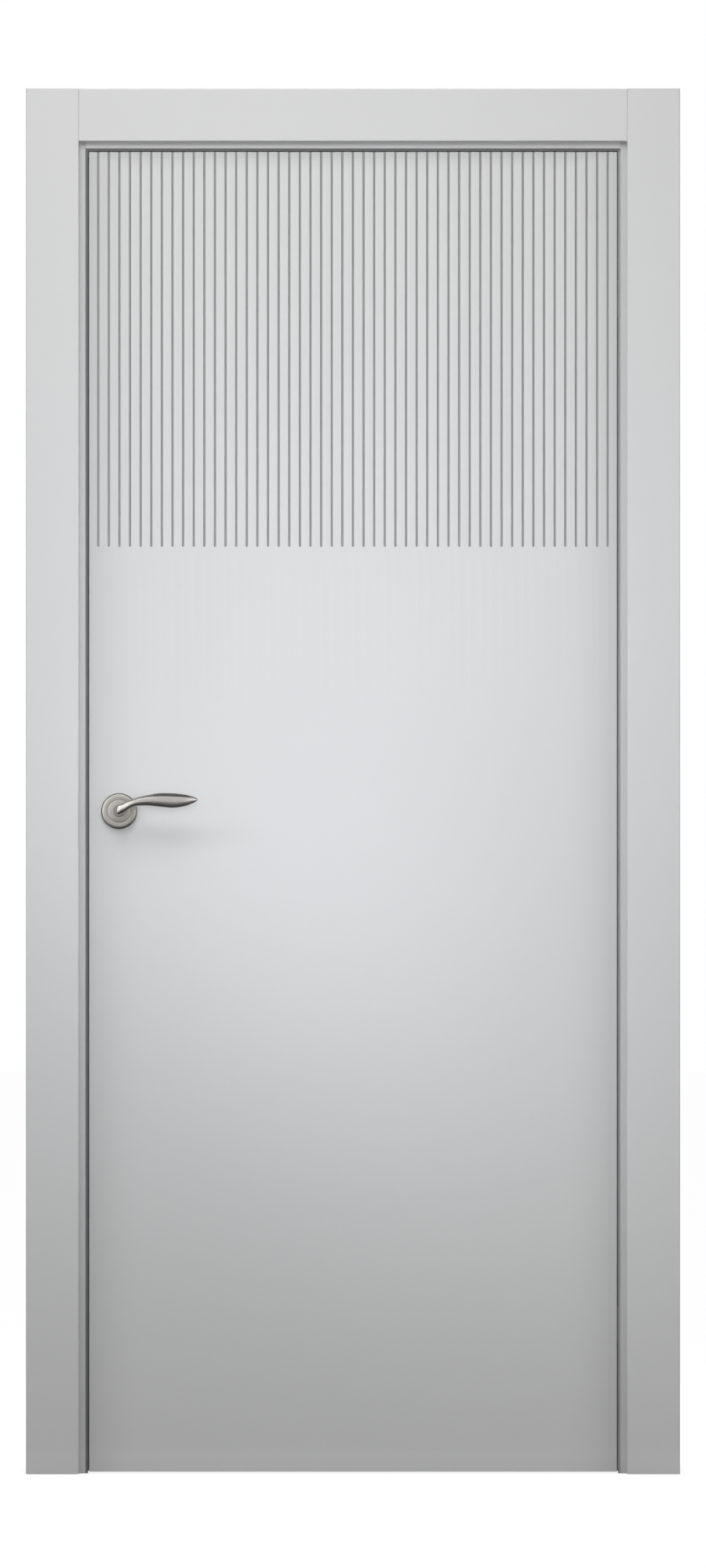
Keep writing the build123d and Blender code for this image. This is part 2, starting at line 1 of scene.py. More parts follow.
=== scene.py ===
import logging
import math
from dataclasses import dataclass, field
from enum import Enum
from typing import Any, Dict, List, NamedTuple, Optional, Sequence, Tuple, Union

import bpy
import numpy as np
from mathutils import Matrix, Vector


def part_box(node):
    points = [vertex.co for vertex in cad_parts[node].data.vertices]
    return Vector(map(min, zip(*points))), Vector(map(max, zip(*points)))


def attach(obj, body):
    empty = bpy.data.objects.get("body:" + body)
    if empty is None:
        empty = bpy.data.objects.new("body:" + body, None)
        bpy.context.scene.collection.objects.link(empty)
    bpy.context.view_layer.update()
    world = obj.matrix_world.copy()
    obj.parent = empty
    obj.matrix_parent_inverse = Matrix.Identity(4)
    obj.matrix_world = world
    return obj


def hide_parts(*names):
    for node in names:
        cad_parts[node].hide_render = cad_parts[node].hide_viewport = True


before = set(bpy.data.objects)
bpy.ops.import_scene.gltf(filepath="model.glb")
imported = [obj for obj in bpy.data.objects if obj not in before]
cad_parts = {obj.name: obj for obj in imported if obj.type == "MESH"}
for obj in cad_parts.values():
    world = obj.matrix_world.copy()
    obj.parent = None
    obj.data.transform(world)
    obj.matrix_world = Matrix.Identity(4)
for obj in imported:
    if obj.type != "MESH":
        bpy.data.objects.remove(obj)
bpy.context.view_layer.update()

log = logging.getLogger("door")

Colour = Tuple[float, float, float]
Point = Tuple[float, float, float]

# The leaf, in metres. Its latch edge leans back by the bevel over the leaf's thickness.
LATCH_EDGE = -0.845
BEVEL = 0.0014
THICKNESS = 0.04


class Body(Enum):
    """The bodies that pieces ride on."""

    FRAME = "frame"
    LEAF = "leaf"
    HANDLE = "handle"


class Side(Enum):
    """The two faces of the leaf: the way that each one looks along Y."""

    FRONT = -1.0
    BACK = 1.0

    @property
    def word(self) -> str:
        """The side's name as the nodes spell it."""
        return self.name.lower()


# Shader building


class Value:
    """A number that a shader works out, which takes part in Python arithmetic."""

    def __init__(self, nodes: "Nodes", socket: bpy.types.NodeSocket) -> None:
        """Wrap an output socket.

        Args:
            nodes: The material's node builder.
            socket: The output socket that holds the number.
        """
        self.nodes = nodes
        self.socket = socket

    def __add__(self, other: "Number") -> "Value":
        """Sum."""
        return self.nodes.math("ADD", self, other)

    def __radd__(self, other: float) -> "Value":
        """Sum with a plain number on the left."""
        return self.nodes.math("ADD", other, self)

    def __sub__(self, other: "Number") -> "Value":
        """Difference."""
        return self.nodes.math("SUBTRACT", self, other)

    def __rsub__(self, other: float) -> "Value":
        """Difference with a plain number on the left."""
        return self.nodes.math("SUBTRACT", other, self)

    def __mul__(self, other: "Number") -> "Value":
        """Product."""
        return self.nodes.math("MULTIPLY", self, other)

    def __truediv__(self, other: "Number") -> "Value":
        """Quotient."""
        return self.nodes.math("DIVIDE", self, other)

    def __pow__(self, other: "Number") -> "Value":
        """Power."""
        return self.nodes.math("POWER", self, other)

    def __lt__(self, other: "Number") -> "Value":
        """One where this is less than the other, and nothing elsewhere."""
        return self.nodes.math("LESS_THAN", self, other)

    def __gt__(self, other: "Number") -> "Value":
        """One where this is more than the other, and nothing elsewhere."""
        return self.nodes.math("GREATER_THAN", self, other)

    def __abs__(self) -> "Value":
        """Size without its sign."""
        return self.nodes.math("ABSOLUTE", self)


Number = Union[float, Value]


class Nodes:
    """Builds the nodes of one material or world."""

    def __init__(self, name: str, world: bool = False) -> None:
        """Start an empty material or world.

        Args:
            name: Its name.
            world: Whether it is a world.
        """
        self.owner = (bpy.data.worlds if world else bpy.data.materials).new(name)
        self.owner.use_nodes = True
        self.tree = self.owner.node_tree
        self.tree.nodes.clear()

    def node(
        self,
        kind: str,
        settings: Optional[Dict[str, Any]] = None,
        inputs: Optional[Dict[Union[int, str], Any]] = None,
    ) -> bpy.types.Node:
        """Add a node.

        Args:
            kind: The node's type.
            settings: The node's own settings, set before its sockets.
            inputs: Values or links, by socket name or number.

        Returns:
            The node.
        """
        made = self.tree.nodes.new(kind)
        for key, setting in (settings or {}).items():
            setattr(made, key, setting)
        for key, value in (inputs or {}).items():
            if isinstance(value, Value):
                self.tree.links.new(value.socket, made.inputs[key])
            elif isinstance(value, bpy.types.NodeSocket):
                self.tree.links.new(value, made.inputs[key])
            else:
                made.inputs[key].default_value = value
        return made

    def math(self, operation: str, *values: Number) -> Value:
        """Add a Math node.

        Args:
            operation: The Math node's operation.
            values: Its numbers, plain or worked out.

        Returns:
            The result.
        """
        made = self.node("ShaderNodeMath", {"operation": operation}, dict(enumerate(values)))
        return Value(self, made.outputs[0])

    def place(self) -> bpy.types.NodeSocket:
        """The point in the object's own coordinates, in metres."""
        return self.node("ShaderNodeTexCoord").outputs["Object"]

    def axes(self) -> Tuple[Value, Value, Value]:
        """X, Y and Z of the point in the object's own coordinates."""
        parts = self.node("ShaderNodeSeparateXYZ", None, {0: self.place()}).outputs
        return Value(self, parts[0]), Value(self, parts[1]), Value(self, parts[2])

    def noise(self, scale: float, detail: float = 2.0, stretch: Point = (1, 1, 1)) -> Value:
        """Soft random variation from 0 to 1.

        Args:
            scale: How many waves there are in a metre.
            detail: How many finer layers are added.
            stretch: A factor on each axis, less than 1 to draw the pattern out.

        Returns:
            The variation.
        """
        at = self.node("ShaderNodeMapping", None, {"Vector": self.place(), "Scale": stretch})
        made = self.node(
            "ShaderNodeTexNoise",
            {"noise_dimensions": "3D"},
            {"Vector": at.outputs[0], "Scale": scale, "Detail": detail},
        )
        return Value(self, made.outputs[0])

    def between(self, factor: Number, low: float, high: float) -> Value:
        """Value between two limits.

        Args:
            factor: How far to go from low to high, 0 to 1.
            low: The result at 0.
            high: The result at 1.

        Returns:
            The value.
        """
        return factor * (high - low) + low

    def blend(self, factor: Number, first: Any, second: Any) -> bpy.types.NodeSocket:
        """Mix two colours.

        Args:
            factor: The share of the second colour.
            first: Colour or socket at 0.
            second: Colour or socket at 1.

        Returns:
            The mixed colour.
        """
        colours = [(*c, 1.0) if isinstance(c, tuple) else c for c in (first, second)]
        made = self.node(
            "ShaderNodeMix",
            {"data_type": "RGBA"},
            {0: factor, 6: colours[0], 7: colours[1]},
        )
        return made.outputs[2]

    def bump(self, height: Value, strength: float, distance: float) -> bpy.types.NodeSocket:
        """Turn a height into a bent normal.

        Args:
            height: The height, 0 to 1.
            strength: How strongly the normal bends.
            distance: The height in metres that 1 stands for.

        Returns:
            The normal.
        """
        made = self.node(
            "ShaderNodeBump",
            None,
            {"Height": height, "Strength": strength, "Distance": distance},
        )
        return made.outputs[0]

    def surface(self, inputs: Dict[str, Any]) -> bpy.types.Material:
        """Close the material with a Principled surface.

        Args:
            inputs: The surface's values or links, by socket name.

        Returns:
            The finished material.
        """
        shader = self.node("ShaderNodeBsdfPrincipled", None, inputs)
        self.node("ShaderNodeOutputMaterial", None, {"Surface": shader.outputs[0]})
        return self.owner

    def glow(self, strength: Number) -> bpy.types.NodeSocket:
        """White light of a given strength.

        Args:
            strength: The strength, plain or worked out.

        Returns:
            The emission.
        """
        return self.node("ShaderNodeEmission", None, {"Strength": strength}).outputs[0]


# Finishes


def toned(colour: Colour, factor: float) -> Colour:
    """Make a colour darker or lighter.

    Args:
        colour: The colour.
        factor: What each of its parts is multiplied by.

    Returns:
        The new colour.
    """
    red, green, blue = colour
    return factor * red, factor * green, factor * blue


@dataclass(frozen=True)
class Enamel:
    """Sprayed white satin enamel: an even tone with a faint orange peel.

    Where raw places are given, the faces at those places on the raw axis are bare
    fibreboard, as on the sides of a jamb or casing that stand against the wall. Where the
    leaf's edges are given, the tone is a little deeper towards them: painted shade near
    the edges. Where grooved is set, the piece's "groove" attribute, 0 to 1, brings in a
    greyer tone: painted shade down in the grooves.
    """

    name: str = "white_enamel"
    colour: Colour = (0.80, 0.80, 0.80)
    roughness: float = 0.42
    raw_axis: int = -1
    raw_places: Tuple[float, ...] = ()
    raw_colour: Colour = (0.42, 0.31, 0.2)
    raw_roughness: float = 0.82
    raw_within: float = 0.0003
    edges: Tuple[float, ...] = ()
    edge_reach: float = 0.1
    edge_power: float = 2.5
    top_reach: float = 0.03
    top_power: float = 1.5
    # Painted shade: how far the tone deepens towards the leaf's edges and top.
    edge_shade_tone: float = 0.8
    grooved: bool = False
    # Painted shade: how far the tone darkens down in the grooves.
    groove_shade_tone: float = 0.48

    def edge_shade_share(self, nodes: Nodes) -> Value:
        """How near a point is to the leaf's upright edges or its top, which sets the painted shade
        there.

        Each share falls evenly over the edge's reach and is raised to a power, and the
        greater one counts.

        Args:
            nodes: The material's node builder.

        Returns:
            1 at an edge, fading to 0 at the edge's reach.
        """
        x, _, z = nodes.axes()
        left, right, top = self.edges
        across = nodes.math("MINIMUM", x - left, right - x)
        sides = nodes.math("MAXIMUM", 1.0 - across / self.edge_reach, 0.0)
        head = nodes.math("MAXIMUM", 1.0 - (top - z) / self.top_reach, 0.0)
        nearest = nodes.math("MAXIMUM", sides**self.edge_power, head**self.top_power)
        return nodes.math("MINIMUM", nearest, 1.0)

    def material(self) -> bpy.types.Material:
        """Build the enamel's material."""
        nodes = Nodes(self.name)
        cloud = nodes.noise(3.0, 3.0)
        peel = nodes.noise(520.0)
        tone: Any = nodes.blend(cloud * 0.5, self.colour, toned(self.colour, 0.965))
        # Painted shade: the tone deepens towards the leaf's edges and top.
        if self.edges:
            deeper = toned(self.colour, self.edge_shade_tone)
            tone = nodes.blend(self.edge_shade_share(nodes), tone, deeper)
        # Painted shade: the groove attribute darkens the tone down in the grooves.
        if self.grooved:
            groove = nodes.node("ShaderNodeAttribute", {"attribute_name": "groove"})
            grey = toned(self.colour, self.groove_shade_tone)
            tone = nodes.blend(Value(nodes, groove.outputs["Fac"]), tone, grey)
        rough: Any = nodes.between(peel, self.roughness - 0.04, self.roughness + 0.04)
        if self.raw_places:
            at = nodes.axes()[self.raw_axis]
            bare: Any = 0.0
            for place in self.raw_places:
                bare = bare + (abs(at - place) < self.raw_within)
            fibre = nodes.noise(900.0, 3.0)
            board = nodes.blend(fibre, self.raw_colour, toned(self.raw_colour, 0.72))
            tone = nodes.blend(bare, tone, board)
            rough = rough + bare * (self.raw_roughness - self.roughness)
        return nodes.surface(
            {
                "Base Color": tone,
                "Roughness": rough,
                "Specular IOR Level": 0.5,
                "Normal": nodes.bump(peel, 0.05, 0.0002),
            }
        )


@dataclass(frozen=True)
class SatinNickel:
    """Satin nickel, brushed along one axis or turned in fine circles about a centre.

    Brushed holds a factor for each axis, small along the brushing. Where a centre is
    given, X and Z, the metal is turned about it and darker from rim_start outwards:
    painted shade, standing for the rim's dark reflection.
    """

    name: str
    colour: Colour = (0.47, 0.45, 0.425)
    roughness: float = 0.25
    grain: float = 0.04
    brushed: Point = (0.04, 1.0, 1.0)
    centre: Optional[Tuple[float, float]] = None
    rim_start: float = 0.0256
    # Painted shade on the rose's rim.
    rim_shade_tone: float = 0.3

    def material(self) -> bpy.types.Material:
        """Build the metal's material."""
        nodes = Nodes(self.name)
        if self.centre is None:
            lines = nodes.noise(2600.0, stretch=self.brushed)
        else:
            x, _, z = nodes.axes()
            across, up = x - self.centre[0], z - self.centre[1]
            radius = nodes.math("SQRT", across * across + up * up)
            ring = nodes.node(
                "ShaderNodeTexNoise",
                {"noise_dimensions": "1D"},
                {"W": radius, "Scale": 2200.0, "Detail": 2.0},
            )
            lines = Value(nodes, ring.outputs[0])
        cloud = nodes.noise(60.0)
        tone = nodes.blend(cloud * 0.6 + lines * 0.2, self.colour, toned(self.colour, 0.9))
        # Painted shade: the rim is darker, standing for its dark reflection.
        if self.centre is not None:
            dark = toned(self.colour, self.rim_shade_tone)
            tone = nodes.blend(radius > self.rim_start, tone, dark)
        return nodes.surface(
            {
                "Base Color": tone,
                "Metallic": 1.0,
                "Roughness": nodes.between(lines, self.roughness - 0.03, self.roughness + 0.04),
                "Normal": nodes.bump(lines, self.grain, 0.00005),
            }
        )


@dataclass(frozen=True)
class CastZinc:
    """Die-cast zinc under a satin plating, with a fine cast grain."""

    name: str = "satin_zinc"
    colour: Colour = (0.58, 0.58, 0.57)

    def material(self) -> bpy.types.Material:
        """Build the zinc's material."""
        nodes = Nodes(self.name)
        grain = nodes.noise(1400.0, 3.0)
        dull = toned(self.colour, 0.78)
        return nodes.surface(
            {
                "Base Color": nodes.blend(nodes.noise(45.0), self.colour, dull),
                "Metallic": 1.0,
                "Roughness": nodes.between(grain, 0.34, 0.5),
                "Normal": nodes.bump(grain, 0.15, 0.0001),
            }
        )


@dataclass(frozen=True)
class Rubber:
    """Matt grey seal rubber with a fine extruded grain along its length."""

    name: str = "grey_rubber"
    colour: Colour = (0.16, 0.16, 0.162)

    def material(self) -> bpy.types.Material:
        """Build the rubber's material."""
        nodes = Nodes(self.name)
        grain = nodes.noise(1500.0, stretch=(1.0, 1.0, 0.02))
        dusty = toned(self.colour, 1.25)
        return nodes.surface(
            {
                "Base Color": nodes.blend(nodes.noise(30.0), self.colour, dusty),
                "Roughness": nodes.between(grain, 0.62, 0.8),
                "Normal": nodes.bump(grain, 0.2, 0.0001),
            }
        )


@dataclass(frozen=True)
class Cardboard:
    """Brown board of the leaf's core."""

    name: str = "core_cardboard"
    colour: Colour = (0.5, 0.37, 0.24)

    def material(self) -> bpy.types.Material:
        """Build the board's material."""
        nodes = Nodes(self.name)
        fibre = nodes.noise(300.0, 3.0, (1.0, 1.0, 0.2))
        return nodes.surface(
            {
                "Base Color": nodes.blend(fibre, self.colour, toned(self.colour, 1.2)),
                "Roughness": nodes.between(fibre, 0.8, 0.92),
                "Normal": nodes.bump(fibre, 0.2, 0.0002),
            }
        )


# Meshes


Faces = Sequence[Sequence[int]]


def middle_of(node: str) -> Vector:
    """Middle of a CAD node's box.

    Args:
        node: The node's name.

    Returns:
        The point.
    """
    low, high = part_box(node)
    return (low + high) / 2


def add_object(name: str, data: bpy.types.ID) -> bpy.types.Object:
    """Put an object in the scene.

    Args:
        name: The object's name.
        data: Its mesh, lamp or camera.

    Returns:
        The object, at the origin.
    """
    made = bpy.data.objects.new(name, data)
    bpy.context.scene.collection.objects.link(made)
    return made


def add_mesh(
    name: str, points: Sequence[Point], faces: Faces, material: bpy.types.Material
) -> bpy.types.Object:
    """Put a mesh object in the scene.

    Args:
        name: The object's name.
        points: Its points.
        faces: Its faces, as numbers of points.
        material: Its material.

    Returns:
        The object, at the origin, with its place in its mesh.
    """
    mesh = bpy.data.meshes.new(name)
    mesh.from_pydata(points, [], faces)
    mesh.materials.append(material)
    return add_object(name, mesh)


def grid_faces(rows: int, columns: int, wrap: bool = False) -> np.ndarray:
    """Quads of a grid of points, row by row.

    Args:
        rows: How many rows of points there are.
        columns: How many points a row has.
        wrap: Whether the last column joins the first.

    Returns:
        One row of four point numbers for each quad.
    """
    row = np.arange(rows - 1)[:, None] * columns
    across = np.arange(columns if wrap else columns - 1)[None, :]
    beside = (across + 1) % columns
    quads = np.stack([row + across, row + beside, row + columns + beside, row + columns + across])
    return quads.reshape(4, -1).T


def smooth_through(values: np.ndarray, count: int) -> np.ndarray:
    """Smooth curve through given rows of values.

    Each stretch is the cubic through its two ends whose slope at each end is half the
    difference of the neighbours on either side, known as a Catmull-Rom curve.

    Args:
        values: One row for each station.
        count: How many rows to give back.

    Returns:
        The rows along the curve, the first and last stations included.
    """
    last = len(values) - 1
    along = np.linspace(0.0, last, count)
    low = np.minimum(along.astype(int), last - 1)
    t = (along - low)[:, None]
    before, start = values[np.maximum(low - 1, 0)], values[low]
    end, after = values[low + 1], values[np.minimum(low + 2, last)]
    slope_0, slope_1 = (end - before) / 2, (after - start) / 2
    return (
        (2 * t**3 - 3 * t**2 + 1) * start
        + (t**3 - 2 * t**2 + t) * slope_0
        + (3 * t**2 - 2 * t**3) * end
        + (t**3 - t**2) * slope_1
    )


@dataclass
class Shell:
    """Points and faces of a piece, joined up from surfaces."""

    points: List[np.ndarray] = field(default_factory=list)
    faces: List[List[int]] = field(default_factory=list)
    count: int = 0

    def add(self, points: np.ndarray, *groups: Faces) -> int:
        """Add a surface.

        Args:
            points: Its points, one row each.
            groups: Its faces, numbered within those points, each group of one size.

        Returns:
            The number that its first point has in the shell.
        """
        start = self.count
        self.points.append(np.asarray(points, float).reshape(-1, 3))
        for group in groups:
            self.faces.extend((np.asarray(group) + start).tolist())
        self.count += len(self.points[-1])
        return start

    def piece(
        self,
        name: str,
        body: Body,
        slot: str,
        material: bpy.types.Material,
        crease: float = 35.0,
    ) -> bpy.types.Object:
        """Make the shell an object that rides on a body.

        Args:
            name: The piece's name.
            body: The body that it rides on.
            slot: The record's material slot; not used.
            material: Its material.
            crease: Edges that bend more than this many degrees stay sharp.

        Returns:
            The object, at the origin, with its place in its mesh.
        """
        made = add_mesh(name, np.concatenate(self.points).tolist(), self.faces, material)
        mesh = made.data
        mesh.polygons.foreach_set("use_smooth", np.ones(len(mesh.polygons), bool))
        mesh.set_sharp_from_angle(angle=math.radians(crease))
        mesh.update()
        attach(made, body.value)
        log.info("%s: %d faces", name, len(mesh.polygons))
        return made


def dress(node: str, material: bpy.types.Material) -> None:
    """Give a CAD node its material.

    Args:
        node: The node's name.
        material: The material for the whole of it.
    """
    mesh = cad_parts[node].data
    mesh.materials.clear()
    mesh.materials.append(material)
    log.info("%s: dressed in %s", node, material.name)


# The door's sub-assemblies


@dataclass
class DoorFrame:
    """Jambs, stops, seals and casings, which stay in the wall. Lengths in metres."""

    sides: Tuple[str, str] = ("hinge_side", "latch_side")
    # Painted shade: the jambs are greyer than the casings, as the casings shade them.
    jamb_shaded_colour: Colour = (0.63, 0.63, 0.635)
    # Painted light: the head jamb is lighter, against the head casing's shadow.
    head_lit_colour: Colour = (0.82, 0.82, 0.825)
    # Painted light: the hinge-side gap seal is lighter, as the light falls on that side.
    lit_seal_colour: Colour = (0.34, 0.34, 0.342)

    def build(self) -> None:
        """Dress the boards and the seals."""
        outer = (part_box("jamb_latch_side")[0].x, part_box("jamb_hinge_side")[1].x)
        _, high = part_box("head_jamb")
        # The jambs' enamel carries painted shade.
        jamb = Enamel("enamel_jamb_painted_shade", self.jamb_shaded_colour, raw_axis=0, raw_places=outer).material()
        # The head jamb's enamel carries painted light.
        head = Enamel("enamel_head_painted_light", self.head_lit_colour, raw_axis=2, raw_places=(high.z,)).material()
        casing = Enamel("enamel_casing", raw_axis=1, raw_places=(0.0, high.y)).material()
        plain = Enamel("enamel_stop").material()
        rubber = Rubber().material()
        for side in self.sides:
            dress(f"jamb_{side}", jamb)
            dress(f"stop_{side}", plain)
            dress(f"seal_{side}", rubber)
        dress("head_jamb", head)
        dress("stop_head", plain)
        for seal in ("seal_head", "gap_seal_head", "gap_seal_latch_side"):
            dress(seal, rubber)
        # Lighter seal on the hinge side: painted light.
        dress("gap_seal_hinge_side", Rubber("grey_rubber_painted_light", self.lit_seal_colour).material())
        for face in ("front", "rear"):
            for piece in (*self.sides, "head"):
                dress(f"casing_{face}_{piece}", casing)


@dataclass
class Leaf:
    """The leaf: two grooved faces on a frame of stiles and rails. Lengths in metres."""

    groove_count: int = 49
    groove_margin: float = 0.014
    groove_end: float = 1.406
    groove_depth: float = 0.003
    wall: float = 0.0015
    lip: float = 0.001
    edge: float = 0.0008
    least: float = 0.0001
    half_hole: float = 0.009
    rings: int = 2
    shade_start: float = 0.25
    shade_range: float = 1.6

    def depth_at(self, away: np.ndarray) -> np.ndarray:
        """Depth of a groove at a distance from its middle line.

        Outside the lip it is nothing. Over the lip it follows a quarter circle down into
        the wall, and inside the wall a half circle makes the round bottom.

        Args:
            away: Distances from the middle line.

        Returns:
            The depths.
        """
        over = np.clip(self.wall + self.lip - away, 0.0, self.lip)
        lip = self.lip - np.sqrt(self.lip**2 - over**2)
        inside = np.clip(away, 0.0, self.wall)
        bottom = self.groove_depth - self.wall + np.sqrt(self.wall**2 - inside**2)
        return np.where(away <= self.wall, bottom, lip)

    def spread(self) -> np.ndarray:
        """Distances from a groove's middle at which its surface is worked out."""
        wall, lip = self.wall, self.lip
        bottom = wall * np.sin(np.radians([0, 24, 45, 64, 90]))
        top = wall + lip * (1 - np.cos(np.radians([8, 28, 50, 70, 90])))
        return np.concatenate([bottom, top])

    def face(self, side: Side, material: bpy.types.Material) -> None:
        """Grooved face of the leaf, standing for its skin.

        The surface is a height over X and Z: at each point the distance to the nearest
        groove's middle line, which ends in a half circle, gives the depth there. The
        outer rows and columns run over a small bevel and down the skin's edges, and a
        square hole for the spindle lies under the rose. The groove attribute grows evenly
        with the depth, from 0 near the face to 1 a little below the lip.

        Args:
            side: Which face of the leaf.
            material: The enamel.
        """
        node = f"leaf_{side.word}_skin"
        low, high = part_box(node)
        left, right, bottom, top = LATCH_EDGE, high.x, low.z, high.z
        outer, inner = (low.y, high.y) if side is Side.FRONT else (high.y, low.y)
        order = -int(side.value)
        first_groove, last_groove = left + self.groove_margin, right - self.groove_margin
        centres = np.linspace(first_groove, last_groove, self.groove_count)
        spread = self.spread()
        offsets = np.concatenate([-spread[:0:-1], spread])
        grooves = (centres[:, None] + offsets).ravel()
        nose = self.groove_end - spread[::-1]
        spindle, half_hole = middle_of("spindle"), np.array([-self.half_hole, self.half_hole])
        hole_xs, hole_zs = spindle.x + half_hole, spindle.z + half_hole
        xs = np.sort(np.concatenate([[left + self.edge, right - self.edge], grooves, hole_xs]))
        zs = np.concatenate([[bottom + self.edge], hole_zs, nose, [top - self.edge]])
        x, z = np.meshgrid(xs, zs)
        nearest = centres[np.abs(x[..., None] - centres).argmin(-1)]
        away = np.hypot(x - nearest, np.minimum(z - self.groove_end, 0.0))

        x, z, depth = (np.pad(p, self.rings, mode="edge") for p in (x, z, self.depth_at(away)))
        # The groove attribute, 0 to 1, sets the painted shade in the grooves.
        shade = np.clip((depth / self.lip - self.shade_start) / self.shade_range, 0.0, 1.0)
        for ring, sink in ((1, self.edge), (0, abs(inner - outer))):
            far = -1 - ring
            for border in (np.s_[ring, :], np.s_[far, :], np.s_[:, ring], np.s_[:, far]):
                depth[border] = np.maximum(depth[border], sink)
            z[ring], z[far] = bottom, top
            x[:, ring], x[:, far] = left, right
        y = outer + order * depth
        x[:, : self.rings] += BEVEL / THICKNESS * y[:, : self.rings]
        x[:, self.rings] = np.maximum(x[:, self.rings], x[:, 1] + self.least)

        columns = self.rings + np.searchsorted(xs, hole_xs)
        rows = self.rings + np.searchsorted(zs, hole_zs)
        points = np.stack([x, y, z], -1)
        kept = np.ones((points.shape[0] - 1, points.shape[1] - 1), bool)
        kept[slice(*rows), slice(*columns)] = False
        shell = Shell()
        shell.add(points, grid_faces(*points.shape[:2])[kept.ravel()][:, ::order])
        self.close_back(shell, points, rows, columns, inner, order)
        made = shell.piece(f"leaf_{side.word}_face", Body.LEAF, "white_enamel", material)
        groove = made.data.attributes.new("groove", "FLOAT", "POINT")
        values = np.zeros(len(made.data.vertices), np.float32)
        values[: shade.size] = shade.ravel()
        groove.data.foreach_set("value", values)
        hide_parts(node)

    def close_back(
        self,
        shell: Shell,
        points: np.ndarray,
        hole_rows: np.ndarray,
        hole_columns: np.ndarray,
        inner: float,
        order: int,
    ) -> None:
        """Close the skin: its plane inner side, and the walls of its hole.

        The inner side is a strip from foot to top for each column, broken where the hole
        is, and the outer strips take the points of the skin's edges.

        Args:
            shell: The shell to close.
            points: The grid of the outer surface.
            hole_rows: The rows at the hole's foot and top.
            hole_columns: The columns at the hole's left and right.
            inner: Y of the inner side.
            order: 1 on the front face and -1 on the back.
        """
        rows, columns = points.shape[:2]
        first, last = hole_columns
        number = np.arange(rows * columns).reshape(rows, columns)
        rim = number[hole_rows, first : last + 1]
        behind = points[hole_rows, first : last + 1]
        behind[..., 1] = inner
        start = shell.add(behind)
        back = start + np.arange(rim.size).reshape(rim.shape)
        foot, head = number[0], number[-1]
        strips = [
            [*number[::-1, 0], foot[1], head[1]],
            [*number[:, -1], head[-2], foot[-2]],
        ]
        for i in range(1, columns - 2):
            if first <= i < last:
                j = i - first
                strips.append([foot[i], foot[i + 1], back[0, j + 1], back[0, j]])
                strips.append([back[1, j], back[1, j + 1], head[i + 1], head[i]])
            else:
                before = [back[0, 0], back[1, 0]] if i == first - 1 else []
                after = [back[1, -1], back[0, -1]] if i == last else []
                strips.append([foot[i], foot[i + 1], *before, head[i + 1], head[i], *after])
        walls = [
            [rim[0, 0], rim[1, 0], back[1, 0], back[0, 0]],
            [rim[1, -1], rim[0, -1], back[0, -1], back[1, -1]],
        ]
        for j in range(last - first):
            walls.append([rim[0, j + 1], rim[0, j], back[0, j], back[0, j + 1]])
            walls.append([rim[1, j], rim[1, j + 1], back[1, j + 1], back[1, j]])
        shell.faces.extend([int(k) for k in face][::-order] for face in strips + walls)

    def build(self) -> None:
        """Make the grooved faces and dress the frame and the core."""
        low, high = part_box("leaf_front_skin")
        edges = (low.x, high.x, high.z)
        # The leaf's faces carry painted shade towards their edges and top, and down in the
        # grooves.
        face = Enamel("enamel_leaf_face", edges=edges, grooved=True).material()
        enamel = Enamel("enamel_leaf_edge").material()
        for side in Side:
            self.face(side, face)
        for part in ("stile_hinge_side", "stile_latch_side", "top_rail", "bottom_rail"):
            dress(f"leaf_{part}", enamel)
        dress("leaf_core", Cardboard().material())


class Station(NamedTuple):
    """A place along the lever. Lengths in millimetres.

    It lies so far along the door, above the spindle and away from the leaf. Its section
    has a half height and a half depth, and is so much deeper on the outer side. Crest and
    flat go from 0 to 1.
    """

    along: float
    above: float
    away: float
    half_height: float
    half_depth: float
    crest: float = 0.0
    outer_extra: float = 0.0
    flat: float = 0.0


